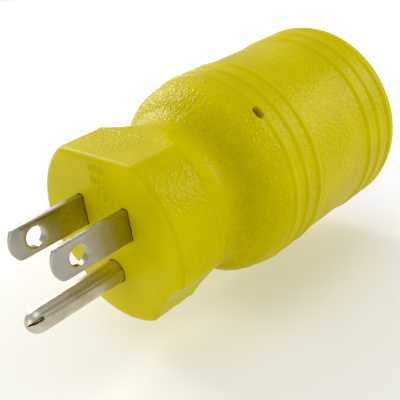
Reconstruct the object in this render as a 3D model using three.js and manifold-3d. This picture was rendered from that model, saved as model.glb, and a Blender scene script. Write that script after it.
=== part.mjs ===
// One-piece moulded plug adapter: a straight-blade 15 A plug on one end and a
// 20 A locking receptacle on the other, joined inside by three short wires.
//
// Millimetres.  The origin is the centre of the plug face, on the barrel's axis.
// +Y runs from the plug face into the body, so the prongs point to -Y.
// +Z is up: the flat on the plug head is on top and the ground pin is below.

import * as THREE from 'three';
import { mergeVertices } from 'three/addons/utils/BufferGeometryUtils.js';
import Module from 'manifold-3d';

const wasm = await Module();
wasm.setup();

// ---------------------------------------------------------------- dimensions

const GAP = 0.3; // clearance left between pieces that touch
const ROUND_SEGMENTS = 48; // facets round the big turned pieces
const SMALL_SEGMENTS = 16; // facets round pins, screws and crimps
const WIRE_SEGMENTS = 12; // facets round the wires
const BEYOND = 2; // how far a cutting tool runs past what it cuts

// Outer jacket
const BODY_LENGTH = 68.1;
const HEAD_RADIUS = 19.1;
const HEAD_LENGTH = 10.9;
const FACE_EDGE = 1.0; // rounding of the plug face's edge
const HEAD_FLAT_Z = 15.9;
const HEAD_FLAT_LENGTH = 16.9;
const SCALLOP_DEPTH_RADIUS = 16.9; // axis to the bottom of a finger scallop
const SCALLOP_RADIUS = 37.0;
const SCALLOP_ANGLES = [-42, -138];
const NECK_RADIUS = 15.9;
const NECK_Y = 16.9;
const SHOULDER_END_Y = 28.4;
const BARREL_RADIUS = 21.5;
const RING_HEIGHT = 0.26; // raised rings round the barrel, steep at their rear
const RING_RISE = 1.15; // foot to crest on the side towards the plug
const RING_FALL = 0.5; // crest to foot on the side towards the receptacle
const FRONT_RINGS = [30.4, 34.2, 38.2]; // crests
const REAR_RINGS = [57.5, 61.6, 65.8];
const LIP_RADIUS = 1.3;
const LOCATOR_Y = 29.5; // hole left by the mould's locating pin
const LOCATOR_ANGLE = 48;
const LOCATOR_WIDTH = 2.6;
const LOCATOR_HEIGHT = 1.6;

// Cavity in the jacket
const FACE_THICKNESS = 2.5;
const HEAD_CAVITY_RADIUS = 13.0;
const FLARE_START_Y = 18.0;
const FLARE_END_Y = 26.0;
const BARREL_CAVITY_RADIUS = 18.7;
const RIB_HEIGHT = 0.8; // jacket rib that locks into the receptacle's groove
const RIB_START_Y = 53.0;
const RIB_END_Y = 57.0;

// Prongs
const BLADE_WIDTH = 6.35;
const BLADE_THICKNESS = 1.52;
const BLADE_SPACING = 12.7;
const BLADE_Z = 3.79;
const BLADE_LENGTH = 16.9;
const BLADE_TIP_LENGTH = 2.4;
const BLADE_TIP_THICKNESS = 0.8;
const BLADE_CORNER = 1.6;
const BLADE_HOLE_RADIUS = 1.98;
const BLADE_HOLE_Y = -11.6;
const GROUND_DROP = 11.89; // blade line to ground pin
const GROUND_RADIUS = 2.4;
const GROUND_LENGTH = 21.0;
const GROUND_SLIT_WIDTH = 0.5;
const GROUND_SLIT_LENGTH = 2.7;

// Crimped joints and wires
const TAIL_WIDTH = 4.0;
const TAIL_START_Y = 9.6;
const CRIMP_START_Y = 12.5;
const CRIMP_LENGTH = 6.5;
const CRIMP_RADIUS = 2.2;
const CRIMP_WALL = 0.8;
const CORE_RADIUS = 1.1;
const INSULATION_RADIUS = 2.1;
const CONTACT_CRIMP_START_Y = 38.6;
const WIRE_STEPS = 6;
const CHANNEL_RADIUS = CRIMP_RADIUS + GAP;

// Plug end
const CARRIER_END_Y = 9.0;

// Receptacle end
const MOULD_END_Y = 40.0;
const BACK_THICKNESS = 5.7;
const FACE_RECESS = 1.3;
const CONTACT_RADIUS = 9.5; // pitch radius of the curved slots
const CONTACT_ANGLES = { hot: 150, neutral: 30, ground: -90 };
const SLOT_HALF_WIDTH = 1.1;
const SLOT_HALF_ANGLE = { hot: 29, neutral: 33, ground: 29 };
const SLOT_WALL = 3.0; // thickness of the face over the contact chambers
const HOOK_REACH = 3.4; // inward leg of the ground slot
const HOOK_HALF_ANGLE = 7;
const LEAF_GAP = 1.0; // half of the space between a contact's two leaves
const LEAF_THICKNESS = 0.8;
const LEAF_HALF_ANGLE = 24;
const CLIP_THICKNESS = 0.5;
const CLIP_ARM_ANGLE = 18; // the arms reach this far either side of the middle
const CLIP_BRIDGE_ANGLE = 26; // inner face of the bridge
const CLIP_END_ANGLE = 29; // outer face of the bridge
const CLIP_BRIDGE_HEIGHT = 3.0;
const CHAMBER_HALF_ANGLE = 36;
const SCREW_PITCH_RADIUS = 15.2;
const SCREW_ANGLES = [90, -30, -150];
const SCREW_RADIUS = 1.4;
const SCREW_LENGTH = 12.0;
const SCREW_HEAD_RADIUS = 2.5;
const SCREW_HEAD_HEIGHT = 1.5;
const SCREW_POINT = 1.6;
const DRIVE_SLOT_WIDTH = 0.7;
const DRIVE_SLOT_DEPTH = 0.8;

// Derived positions
const GROUND_Z = BLADE_Z - GROUND_DROP;
const CORE_END_GAP = 1.0; // end of a wire core to the bottom of its crimp
const BACK_START_Y = MOULD_END_Y + GAP;
const BACK_END_Y = BACK_START_Y + BACK_THICKNESS;
const INSERT_START_Y = BACK_END_Y + GAP;
const INSERT_END_Y = BODY_LENGTH - FACE_RECESS;
const CHAMBER_END_Y = INSERT_END_Y - SLOT_WALL;

const PRONGS = {
  hot: { x: -BLADE_SPACING / 2, z: BLADE_Z },
  neutral: { x: BLADE_SPACING / 2, z: BLADE_Z },
  ground: { x: 0, z: GROUND_Z },
};

// ----------------------------------------------------------------- materials

function material(color, roughness, metalness) {
  return new THREE.MeshStandardMaterial({ color, roughness, metalness });
}

const FINISHES = {
  jacket: () => material(0xd8c81c, 0.45, 0),
  mould: () => material(0x3a3a38, 0.6, 0),
  carrier: () => material(0xe8e4d8, 0.5, 0),
  insert: () => material(0x1b1b1d, 0.4, 0),
  nickel: () => material(0xc9c6bd, 0.25, 1),
  brass: () => material(0xc8a24a, 0.3, 1),
  copper: () => material(0xb87346, 0.35, 1),
  steel: () => material(0xa8abb0, 0.3, 1),
  hot: () => material(0x151515, 0.5, 0),
  neutral: () => material(0xf2f2ee, 0.5, 0),
  ground: () => material(0x1f7a3a, 0.5, 0),
};

// ------------------------------------------------------------- solid helpers

function toSolid(geometry) {
  const bare = geometry.index ? geometry.toNonIndexed() : geometry.clone();
  bare.deleteAttribute('normal');
  bare.deleteAttribute('uv');
  const merged = mergeVertices(bare, 1e-4);
  return new wasm.Manifold(new wasm.Mesh({
    numProp: 3,
    vertProperties: merged.attributes.position.array,
    triVerts: Uint32Array.from(merged.index.array),
  }));
}

function toGeometry(solid) {
  const { vertProperties, triVerts } = solid.getMesh();
  const geometry = new THREE.BufferGeometry();
  geometry.setAttribute('position', new THREE.BufferAttribute(vertProperties, 3));
  geometry.setIndex(new THREE.BufferAttribute(triVerts, 1));
  geometry.computeVertexNormals();
  return geometry;
}

function named(name, solid, finish) {
  const mesh = new THREE.Mesh(toGeometry(solid), FINISHES[finish]());
  mesh.name = name;
  return mesh;
}

const degrees = THREE.MathUtils.degToRad;

// A solid turned about the Y axis from a profile of [radius, y] points.
function turned(profile, segments = ROUND_SEGMENTS) {
  const points = profile.map(([radius, y]) => new THREE.Vector2(radius, y));
  return toSolid(new THREE.LatheGeometry(points, segments));
}

// A plain round bar along Y.
function bar(radius, startY, endY, x = 0, z = 0, segments = SMALL_SEGMENTS) {
  return turned([[0, startY], [radius, startY], [radius, endY], [0, endY]], segments)
    .translate([x, 0, z]);
}

function box(from, to) {
  const size = to.map((value, axis) => value - from[axis]);
  const centre = to.map((value, axis) => (value + from[axis]) / 2);
  return toSolid(new THREE.BoxGeometry(...size)).translate(centre);
}

// Extrude a shape drawn in X and Z, along Y.
function extrudeAlongY(shape, startY, endY, curveSegments = 4) {
  const options = { depth: endY - startY, bevelEnabled: false, curveSegments };
  const geometry = new THREE.ExtrudeGeometry(shape, options);
  geometry.rotateX(Math.PI / 2);
  geometry.translate(0, endY, 0);
  return toSolid(geometry);
}

// Extrude a shape drawn in Y and Z, along X, centred on x = 0.
function extrudeAlongX(shape, width, curveSegments = 5) {
  const options = { depth: width, bevelEnabled: false, curveSegments };
  const geometry = new THREE.ExtrudeGeometry(shape, options);
  geometry.translate(0, 0, -width / 2);
  const toYZ = new THREE.Matrix4().makeBasis(
    new THREE.Vector3(0, 1, 0),
    new THREE.Vector3(0, 0, 1),
    new THREE.Vector3(1, 0, 0),
  );
  geometry.applyMatrix4(toYZ);
  return toSolid(geometry);
}

// A block that follows a circle about the Y axis.
function arcBlock(innerRadius, outerRadius, startY, endY, angle, halfAngle) {
  const from = degrees(angle - halfAngle);
  const to = degrees(angle + halfAngle);
  const shape = new THREE.Shape();
  shape.absarc(0, 0, outerRadius, from, to, false);
  shape.absarc(0, 0, innerRadius, to, from, true);
  shape.closePath();
  return extrudeAlongY(shape, startY, endY);
}

function onCircle(radius, angle) {
  return { x: radius * Math.cos(degrees(angle)), z: radius * Math.sin(degrees(angle)) };
}

// -------------------------------------------------------------- outer jacket

function arcProfile(centreRadius, centreY, radius, fromAngle, toAngle, steps) {
  const points = [];
  for (let step = 0; step <= steps; step += 1) {
    const angle = degrees(fromAngle + ((toAngle - fromAngle) * step) / steps);
    points.push([centreRadius + radius * Math.cos(angle), centreY + radius * Math.sin(angle)]);
  }
  return points;
}

// Raised ring as a bump in the profile: a rounded rise to the crest, then a drop.
function ringProfile(crestY) {
  const steps = 3;
  const points = [];
  for (let step = 0; step <= steps; step += 1) {
    const toCrest = 1 - step / steps;
    const height = RING_HEIGHT * (1 - toCrest * toCrest);
    points.push([BARREL_RADIUS + height, crestY - toCrest * RING_RISE]);
  }
  points.push([BARREL_RADIUS, crestY + RING_FALL]);
  return points;
}

// Concave neck and swelling shoulder between the head and the barrel.
function shoulderProfile() {
  const curve = new THREE.SplineCurve([
    new THREE.Vector2(HEAD_RADIUS - 0.3, HEAD_LENGTH + 0.2),
    new THREE.Vector2(NECK_RADIUS + 1.15, NECK_Y - 3.6),
    new THREE.Vector2(NECK_RADIUS, NECK_Y),
    new THREE.Vector2(NECK_RADIUS + 1.05, NECK_Y + 3.5),
    new THREE.Vector2(BARREL_RADIUS - 2.5, SHOULDER_END_Y - 6.1),
    new THREE.Vector2(BARREL_RADIUS - 1.0, SHOULDER_END_Y - 4.1),
    new THREE.Vector2(BARREL_RADIUS, SHOULDER_END_Y),
  ]);
  return curve.getPoints(15).map((point) => [point.x, point.y]);
}

function jacketOutline() {
  const profile = [
    [0, 0],
    ...arcProfile(HEAD_RADIUS - FACE_EDGE, FACE_EDGE, FACE_EDGE, -90, 0, 3),
    [HEAD_RADIUS, HEAD_LENGTH],
    ...shoulderProfile(),
    ...FRONT_RINGS.flatMap(ringProfile),
    ...REAR_RINGS.flatMap(ringProfile),
    ...arcProfile(BARREL_RADIUS - LIP_RADIUS, BODY_LENGTH - LIP_RADIUS, LIP_RADIUS, 0, 90, 3),
    [0, BODY_LENGTH],
  ];
  return turned(profile);
}

function headFlatCutter() {
  const reach = HEAD_RADIUS + BEYOND;
  return box([-reach, -BEYOND, HEAD_FLAT_Z], [reach, HEAD_FLAT_LENGTH, reach]);
}

function scallopCutter(angle) {
  const centre = onCircle(SCALLOP_DEPTH_RADIUS + SCALLOP_RADIUS, angle);
  return bar(SCALLOP_RADIUS, -BEYOND, HEAD_FLAT_LENGTH, centre.x, centre.z, 2 * ROUND_SEGMENTS);
}

// The space inside the jacket, smaller all round by a margin.
function cavity(margin) {
  const head = HEAD_CAVITY_RADIUS - margin;
  const barrel = BARREL_CAVITY_RADIUS - margin;
  const rib = barrel - RIB_HEIGHT;
  const endY = BODY_LENGTH + BEYOND;
  return turned([
    [0, FACE_THICKNESS],
    [head, FACE_THICKNESS],
    [head, FLARE_START_Y],
    [barrel, FLARE_END_Y],
    [barrel, RIB_START_Y - margin],
    [rib, RIB_START_Y - margin + RIB_HEIGHT],
    [rib, RIB_END_Y + margin - RIB_HEIGHT],
    [barrel, RIB_END_Y + margin],
    [barrel, endY],
    [0, endY],
  ]);
}

// What fills the jacket between two heights.
function filling(startY, endY) {
  const reach = BARREL_RADIUS;
  return cavity(GAP).intersect(box([-reach, startY, -reach], [reach, endY, reach]));
}

// Oval hole through the barrel wall, pointing at the axis.
function locatorCutter() {
  const straight = LOCATOR_WIDTH - LOCATOR_HEIGHT;
  const end = LOCATOR_HEIGHT / 2;
  const inner = BARREL_CAVITY_RADIUS - BEYOND;
  const outer = BARREL_RADIUS + BEYOND;
  const shape = new THREE.Shape();
  shape.absarc(straight / 2, 0, end, -Math.PI / 2, Math.PI / 2, false);
  shape.absarc(-straight / 2, 0, end, Math.PI / 2, (3 * Math.PI) / 2, false);
  shape.closePath();
  const options = { depth: outer - inner, bevelEnabled: false, curveSegments: 5 };
  const geometry = new THREE.ExtrudeGeometry(shape, options);
  geometry.translate(0, 0, inner);
  geometry.rotateY(degrees(90 - LOCATOR_ANGLE));
  return toSolid(geometry).translate([0, LOCATOR_Y, 0]);
}

function prongSection(name, margin) {
  const { x, z } = PRONGS[name];
  if (name === 'ground') {
    return bar(GROUND_RADIUS + margin, -BEYOND, CARRIER_END_Y + BEYOND, x, z);
  }
  const halfThickness = BLADE_THICKNESS / 2 + margin;
  const halfWidth = BLADE_WIDTH / 2 + margin;
  return box(
    [x - halfThickness, -BEYOND, z - halfWidth],
    [x + halfThickness, CARRIER_END_Y + BEYOND, z + halfWidth],
  );
}

function outerJacket() {
  let solid = jacketOutline()
    .subtract(headFlatCutter())
    .subtract(cavity(0))
    .subtract(locatorCutter());
  for (const angle of SCALLOP_ANGLES) {
    solid = solid.subtract(scallopCutter(angle));
  }
  for (const name of Object.keys(PRONGS)) {
    solid = solid.subtract(prongSection(name, GAP));
  }
  return named('outer_jacket', solid, 'jacket');
}

// ------------------------------------------------------------------ plug end

function bladeCarrier() {
  let solid = filling(FACE_THICKNESS + GAP, CARRIER_END_Y);
  for (const name of Object.keys(PRONGS)) {
    solid = solid.subtract(prongSection(name, GAP));
  }
  return named('blade_carrier', solid, 'carrier');
}

// Barrel closed round a stripped wire end, open at its rear.
function crimp(startY, length, x, z, opensForward = false) {
  const endY = startY + length;
  const boreStart = opensForward ? startY - BEYOND : startY + CRIMP_WALL;
  const boreEnd = opensForward ? endY - CRIMP_WALL : endY + BEYOND;
  return bar(CRIMP_RADIUS, startY, endY, x, z)
    .subtract(bar(CORE_RADIUS + GAP, boreStart, boreEnd, x, z));
}

// Side view of a blade: rounded corners at the tip.
function bladeSideView() {
  const half = BLADE_WIDTH / 2;
  const shape = new THREE.Shape();
  shape.moveTo(TAIL_START_Y, -half);
  shape.lineTo(TAIL_START_Y, half);
  shape.lineTo(-BLADE_LENGTH + BLADE_CORNER, half);
  shape.absarc(-BLADE_LENGTH + BLADE_CORNER, half - BLADE_CORNER, BLADE_CORNER,
    Math.PI / 2, Math.PI, false);
  shape.absarc(-BLADE_LENGTH + BLADE_CORNER, -half + BLADE_CORNER, BLADE_CORNER,
    Math.PI, (3 * Math.PI) / 2, false);
  shape.closePath();
  const hole = new THREE.Path();
  hole.absarc(BLADE_HOLE_Y, 0, BLADE_HOLE_RADIUS, 0, 2 * Math.PI, true);
  shape.holes.push(hole);
  return shape;
}

// Top view of a blade: the tip is coined thinner on both faces.
function bladeTopView() {
  const half = BLADE_THICKNESS / 2;
  const tip = BLADE_TIP_THICKNESS / 2;
  const shape = new THREE.Shape();
  shape.moveTo(-half, TAIL_START_Y);
  shape.lineTo(-half, -BLADE_LENGTH + BLADE_TIP_LENGTH);
  shape.lineTo(-tip, -BLADE_LENGTH);
  shape.lineTo(tip, -BLADE_LENGTH);
  shape.lineTo(half, -BLADE_LENGTH + BLADE_TIP_LENGTH);
  shape.lineTo(half, TAIL_START_Y);
  shape.closePath();
  return shape;
}

function blade(name) {
  const { x, z } = PRONGS[name];
  const plan = toSolid(new THREE.ExtrudeGeometry(bladeTopView(), {
    depth: BLADE_WIDTH + BEYOND,
    bevelEnabled: false,
  })).translate([0, 0, -(BLADE_WIDTH + BEYOND) / 2]);
  const halfThickness = BLADE_THICKNESS / 2;
  const tail = box(
    [-halfThickness, TAIL_START_Y - GAP, -TAIL_WIDTH / 2],
    [halfThickness, CRIMP_START_Y + GAP, TAIL_WIDTH / 2],
  );
  const solid = extrudeAlongX(bladeSideView(), BLADE_THICKNESS)
    .intersect(plan)
    .add(tail)
    .translate([x, 0, z])
    .add(crimp(CRIMP_START_Y, CRIMP_LENGTH, x, z));
  return named(`${name}_blade`, solid, 'nickel');
}

// Rolled pin with a round nose that is slit across its right-hand side.
function groundPin() {
  const { x, z } = PRONGS.ground;
  const nose = arcProfile(0, -GROUND_LENGTH + GROUND_RADIUS, GROUND_RADIUS, -90, 0, 5);
  const shank = turned([...nose, [GROUND_RADIUS, TAIL_START_Y], [0, TAIL_START_Y]], SMALL_SEGMENTS);
  const slit = box(
    [0, -GROUND_LENGTH - BEYOND, -GROUND_SLIT_WIDTH / 2],
    [GROUND_RADIUS + BEYOND, -GROUND_LENGTH + GROUND_SLIT_LENGTH, GROUND_SLIT_WIDTH / 2],
  );
  const neck = bar(CORE_RADIUS + GAP, TAIL_START_Y - GAP, CRIMP_START_Y + GAP);
  const solid = shank
    .subtract(slit)
    .add(neck)
    .add(crimp(CRIMP_START_Y, CRIMP_LENGTH, 0, 0))
    .translate([x, 0, z]);
  return named('ground_pin', solid, 'nickel');
}

// --------------------------------------------------------------------- wires

// Centre line from a prong's crimp to its contact's crimp.
function wirePath(name, startY, endY) {
  const from = PRONGS[name];
  const to = onCircle(CONTACT_RADIUS, CONTACT_ANGLES[name]);
  const bendStart = CRIMP_START_Y + CRIMP_LENGTH;
  const bendEnd = CONTACT_CRIMP_START_Y;
  const points = [];
  const yValues = [startY];
  for (let step = 0; step <= WIRE_STEPS; step += 1) {
    yValues.push(bendStart + ((bendEnd - bendStart) * step) / WIRE_STEPS);
  }
  yValues.push(endY);
  for (const y of yValues.filter((value) => value >= startY && value <= endY)) {
    const along = THREE.MathUtils.smoothstep(y, bendStart, bendEnd);
    points.push(new THREE.Vector3(
      THREE.MathUtils.lerp(from.x, to.x, along),
      y,
      THREE.MathUtils.lerp(from.z, to.z, along),
    ));
  }
  return new THREE.CatmullRomCurve3(points);
}

function swept(name, startY, endY, outerRadius, innerRadius = 0) {
  const shape = new THREE.Shape();
  shape.absarc(0, 0, outerRadius, 0, 2 * Math.PI, false);
  if (innerRadius > 0) {
    const hole = new THREE.Path();
    hole.absarc(0, 0, innerRadius, 0, 2 * Math.PI, true);
    shape.holes.push(hole);
  }
  const path = wirePath(name, startY, endY);
  return toSolid(new THREE.ExtrudeGeometry(shape, {
    steps: path.points.length,
    curveSegments: WIRE_SEGMENTS / 2,
    extrudePath: path,
    bevelEnabled: false,
  }));
}

function wire(name) {
  const frontStop = CRIMP_START_Y + CRIMP_LENGTH;
  const core = swept(
    name,
    CRIMP_START_Y + CORE_END_GAP + GAP,
    CONTACT_CRIMP_START_Y + CRIMP_LENGTH - CORE_END_GAP - GAP,
    CORE_RADIUS,
  );
  const insulation = swept(
    name,
    frontStop + GAP,
    CONTACT_CRIMP_START_Y - GAP,
    INSULATION_RADIUS,
    CORE_RADIUS + GAP,
  );
  return [
    named(`${name}_wire_core`, core, 'copper'),
    named(`${name}_wire_insulation`, insulation, name),
  ];
}

// Filler moulded round the crimps and wires before the jacket goes on.
function innerMould() {
  const startY = CARRIER_END_Y + GAP;
  let solid = filling(startY, MOULD_END_Y);
  for (const name of Object.keys(PRONGS)) {
    solid = solid.subtract(prongTailRoom(name));
    solid = solid.subtract(swept(name, startY - GAP, MOULD_END_Y + BEYOND, CHANNEL_RADIUS));
  }
  return named('inner_mould', solid, 'mould');
}

// Room for the end of a prong, which stands a little out of the carrier.
function prongTailRoom(name) {
  const reach = TAIL_START_Y + GAP;
  const slab = box([-HEAD_RADIUS, CARRIER_END_Y, -HEAD_RADIUS], [HEAD_RADIUS, reach, HEAD_RADIUS]);
  return prongSection(name, GAP).intersect(slab);
}

// ---------------------------------------------------------------- receptacle

function contact(name) {
  const angle = CONTACT_ANGLES[name];
  const { x, z } = onCircle(CONTACT_RADIUS, angle);
  const outer = LEAF_GAP + LEAF_THICKNESS;
  const startY = INSERT_START_Y;
  const endY = CHAMBER_END_Y - 2 * GAP;
  const block = arcBlock(
    CONTACT_RADIUS - outer, CONTACT_RADIUS + outer, startY, endY, angle, LEAF_HALF_ANGLE,
  );
  const space = arcBlock(
    CONTACT_RADIUS - LEAF_GAP, CONTACT_RADIUS + LEAF_GAP, startY + LEAF_THICKNESS,
    endY + BEYOND, angle, LEAF_HALF_ANGLE + BEYOND,
  );
  const crimpLength = startY + GAP - CONTACT_CRIMP_START_Y;
  const solid = block
    .subtract(space)
    .add(crimp(CONTACT_CRIMP_START_Y, crimpLength, x, z, true));
  return named(`${name}_contact`, solid, 'brass');
}

// Steel clip that presses a contact's two leaves together.  Its arms lie outside
// the leaves and a low bridge past the end of the leaves joins them.
function springClip(name) {
  const angle = CONTACT_ANGLES[name];
  const inner = LEAF_GAP + LEAF_THICKNESS + GAP;
  const outer = inner + CLIP_THICKNESS;
  const startY = INSERT_START_Y + GAP;
  const endY = CHAMBER_END_Y - GAP;
  const sector = (half, toAngle, fromY, toY) => arcBlock(
    CONTACT_RADIUS - half,
    CONTACT_RADIUS + half,
    fromY,
    toY,
    angle + (toAngle - CLIP_ARM_ANGLE) / 2,
    (toAngle + CLIP_ARM_ANGLE) / 2,
  );
  const space = arcBlock(
    CONTACT_RADIUS - inner, CONTACT_RADIUS + inner, startY - BEYOND, endY + BEYOND,
    angle, CLIP_BRIDGE_ANGLE,
  );
  const solid = sector(outer, CLIP_ARM_ANGLE, startY, endY)
    .add(sector(outer, CLIP_END_ANGLE, startY, startY + CLIP_BRIDGE_HEIGHT))
    .subtract(space);
  return named(`${name}_contact_clip`, solid, 'steel');
}

function chamberCutter(name) {
  const half = LEAF_GAP + LEAF_THICKNESS + 2 * GAP + CLIP_THICKNESS;
  return arcBlock(
    CONTACT_RADIUS - half, CONTACT_RADIUS + half, INSERT_START_Y - BEYOND, CHAMBER_END_Y,
    CONTACT_ANGLES[name], CHAMBER_HALF_ANGLE,
  );
}

function slotCutter(name) {
  const angle = CONTACT_ANGLES[name];
  const halfAngle = SLOT_HALF_ANGLE[name];
  const startY = CHAMBER_END_Y - BEYOND / 2;
  const endY = INSERT_END_Y + BEYOND;
  const inner = CONTACT_RADIUS - SLOT_HALF_WIDTH;
  const slot = arcBlock(inner, CONTACT_RADIUS + SLOT_HALF_WIDTH, startY, endY, angle, halfAngle);
  if (name !== 'ground') {
    return slot;
  }
  const hook = arcBlock(
    inner - HOOK_REACH, inner + SLOT_HALF_WIDTH, startY, endY,
    angle + halfAngle - HOOK_HALF_ANGLE, HOOK_HALF_ANGLE,
  );
  return slot.add(hook);
}

function receptacleFace() {
  let solid = filling(INSERT_START_Y, INSERT_END_Y);
  for (const name of Object.keys(PRONGS)) {
    solid = solid.subtract(chamberCutter(name)).subtract(slotCutter(name));
  }
  for (const angle of SCREW_ANGLES) {
    const { x, z } = onCircle(SCREW_PITCH_RADIUS, angle);
    const depth = BACK_START_Y + SCREW_HEAD_HEIGHT + SCREW_LENGTH + 2 * GAP;
    solid = solid.subtract(bar(SCREW_RADIUS + GAP, BACK_START_Y, depth, x, z));
  }
  return named('receptacle_face', solid, 'insert');
}

function receptacleBack() {
  let solid = filling(BACK_START_Y, BACK_END_Y);
  for (const name of Object.keys(PRONGS)) {
    const { x, z } = onCircle(CONTACT_RADIUS, CONTACT_ANGLES[name]);
    solid = solid.subtract(
      bar(CHANNEL_RADIUS, BACK_START_Y - BEYOND, BACK_END_Y + BEYOND, x, z),
    );
  }
  for (const angle of SCREW_ANGLES) {
    const { x, z } = onCircle(SCREW_PITCH_RADIUS, angle);
    const counterbore = BACK_START_Y + SCREW_HEAD_HEIGHT + 2 * GAP;
    solid = solid
      .subtract(bar(SCREW_RADIUS + GAP, BACK_START_Y - BEYOND, BACK_END_Y + BEYOND, x, z))
      .subtract(bar(SCREW_HEAD_RADIUS + GAP, BACK_START_Y - BEYOND, counterbore, x, z));
  }
  return named('receptacle_back', solid, 'insert');
}

function assemblyScrew(angle, index) {
  const { x, z } = onCircle(SCREW_PITCH_RADIUS, angle);
  const headStart = BACK_START_Y + GAP;
  const headEnd = headStart + SCREW_HEAD_HEIGHT;
  const tip = headEnd + SCREW_LENGTH;
  const body = turned([
    [0, headStart],
    [SCREW_HEAD_RADIUS, headStart],
    [SCREW_HEAD_RADIUS, headEnd],
    [SCREW_RADIUS, headEnd],
    [SCREW_RADIUS, tip - SCREW_POINT],
    [0, tip],
  ], SMALL_SEGMENTS);
  const reach = SCREW_HEAD_RADIUS + BEYOND;
  const drive = box(
    [-reach, headStart - BEYOND, -DRIVE_SLOT_WIDTH / 2],
    [reach, headStart + DRIVE_SLOT_DEPTH, DRIVE_SLOT_WIDTH / 2],
  );
  return named(`assembly_screw_${index + 1}`, body.subtract(drive).translate([x, 0, z]), 'steel');
}

// ------------------------------------------------------------------ assembly

const adapter = new THREE.Group();
adapter.add(outerJacket(), innerMould(), bladeCarrier());
adapter.add(blade('hot'), blade('neutral'), groundPin());
for (const name of Object.keys(PRONGS)) {
  adapter.add(...wire(name), contact(name), springClip(name));
}
adapter.add(receptacleFace(), receptacleBack(), ...SCREW_ANGLES.map(assemblyScrew));

export default adapter;
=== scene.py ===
"""Looks of the moulded plug adapter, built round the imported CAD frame."""

import math

import bmesh
import bpy
import numpy as np
from mathutils import Matrix, Vector
from mathutils.geometry import delaunay_2d_cdt


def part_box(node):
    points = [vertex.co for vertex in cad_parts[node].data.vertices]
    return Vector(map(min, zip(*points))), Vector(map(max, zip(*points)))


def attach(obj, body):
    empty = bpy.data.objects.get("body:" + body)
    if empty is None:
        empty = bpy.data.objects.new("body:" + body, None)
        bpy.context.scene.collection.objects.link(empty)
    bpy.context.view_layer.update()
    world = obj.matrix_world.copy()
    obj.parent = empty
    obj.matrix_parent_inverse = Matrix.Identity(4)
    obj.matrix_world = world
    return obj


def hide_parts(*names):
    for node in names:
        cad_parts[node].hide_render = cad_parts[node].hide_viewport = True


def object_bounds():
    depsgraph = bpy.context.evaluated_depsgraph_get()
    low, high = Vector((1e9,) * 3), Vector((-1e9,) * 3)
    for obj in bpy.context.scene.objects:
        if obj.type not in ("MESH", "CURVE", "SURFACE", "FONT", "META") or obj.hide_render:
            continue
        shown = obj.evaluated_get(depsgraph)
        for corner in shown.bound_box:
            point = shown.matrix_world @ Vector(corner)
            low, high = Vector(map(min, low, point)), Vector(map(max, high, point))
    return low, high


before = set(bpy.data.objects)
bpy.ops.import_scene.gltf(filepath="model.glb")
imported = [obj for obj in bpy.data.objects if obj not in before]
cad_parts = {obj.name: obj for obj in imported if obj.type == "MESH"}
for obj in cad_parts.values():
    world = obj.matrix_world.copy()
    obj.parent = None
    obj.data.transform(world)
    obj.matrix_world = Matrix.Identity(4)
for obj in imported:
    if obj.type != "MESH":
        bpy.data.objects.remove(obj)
cad_low, cad_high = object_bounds()

MM = 0.001  # sizes below are in millimetres, meshes are in metres


def box_mm(node):
    low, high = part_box(node)
    return np.array(low) / MM, np.array(high) / MM


# ------------------------------------------------------------ driving sizes

RING_HEIGHT = 0.26
BARREL_RADIUS = box_mm("outer_jacket")[1][0] - RING_HEIGHT
BODY_LENGTH = box_mm("outer_jacket")[1][1]

# Plug head
HEAD_RADIUS = 19.1
HEAD_LENGTH = 10.9
FLAT_Z = 15.9
SCALLOP_REACH = 16.9
SCALLOP_RADIUS = 37.0
SCALLOP_ANGLES = (-42.0, -138.0)
OUTLINE_BLEND = 0.35
FACE_EDGE = 1.05
CREASE_BEAD = 0.1
CREASE_WIDTH = 0.28
RELEASE_Y = 16.9
RELEASE_CURVE = 0.55

# Neck, shoulder and barrel
NECK_RADIUS = 15.9
NECK_Y = 16.9
SHOULDER_END_Y = 28.4
WAIST_DEPTH = 0.08
WAIST_START_Y = 41.5
WAIST_END_Y = 56.2
RINGS = (30.4, 34.2, 38.2, 57.5, 61.6, 65.8)
RING_SHOWN = 0.33
RING_RISE = 1.0
RING_FALL = 0.5
RING_ROUND = 0.35
LIP_RADIUS = 1.3
LIP_INNER_EDGE = 0.45
PARTING_ANGLES = (6.0, 186.0)
PARTING_HEIGHT = 0.19
PARTING_WIDTH = 0.45  # degrees
PARTING_END_Y = 25.0

# Locating-pin hole
LOCATOR_ANGLE = 48.0
LOCATOR_Y = 29.5
LOCATOR_WIDTH = 2.6
LOCATOR_HEIGHT = 1.6
LOCATOR_REACH = 1.6  # along the cavity wall, each side of the hole
LOCATOR_MARGIN = 0.75

# Cavity
FACE_THICKNESS = 2.5
HEAD_CAVITY_RADIUS = 13.0
FLARE_START_Y = 18.0
FLARE_END_Y = 26.0
CAVITY_RADIUS = 18.7
RIB_HEIGHT = 0.8
RIB_START_Y = 53.0
RIB_END_Y = 57.0

# Grain, as shares of its full height
GRAIN_CELL = 1.3
GRAIN_HEIGHT = 0.12
GRAIN_LEVEL = 0.75
BARREL_CALM = 0.4
NECK_GRAIN = 0.4
HEAD_GRAIN = 0.52
FLAT_GRAIN = 0.45

# Raised marks of the plug face, as (x, z)
RELIEF_HEIGHT = 0.2
RELIEF_CENTRE = (0.9, 12.4)
RELIEF_LINE = 0.17
RELIEF_SPACING = 0.95
RELIEF_ROW_SPACING = 2.3
BADGE_CENTRE = (1.6, 8.6)
BADGE_RADIUS = 2.0
BADGE_BOLT = ((0.45, 1.25), (-0.5, -0.1), (0.5, 0.1), (-0.45, -1.25))
EJECTOR_X = 11.4
EJECTOR_Z = 1.6
EJECTOR_RADIUS = 0.85

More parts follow.
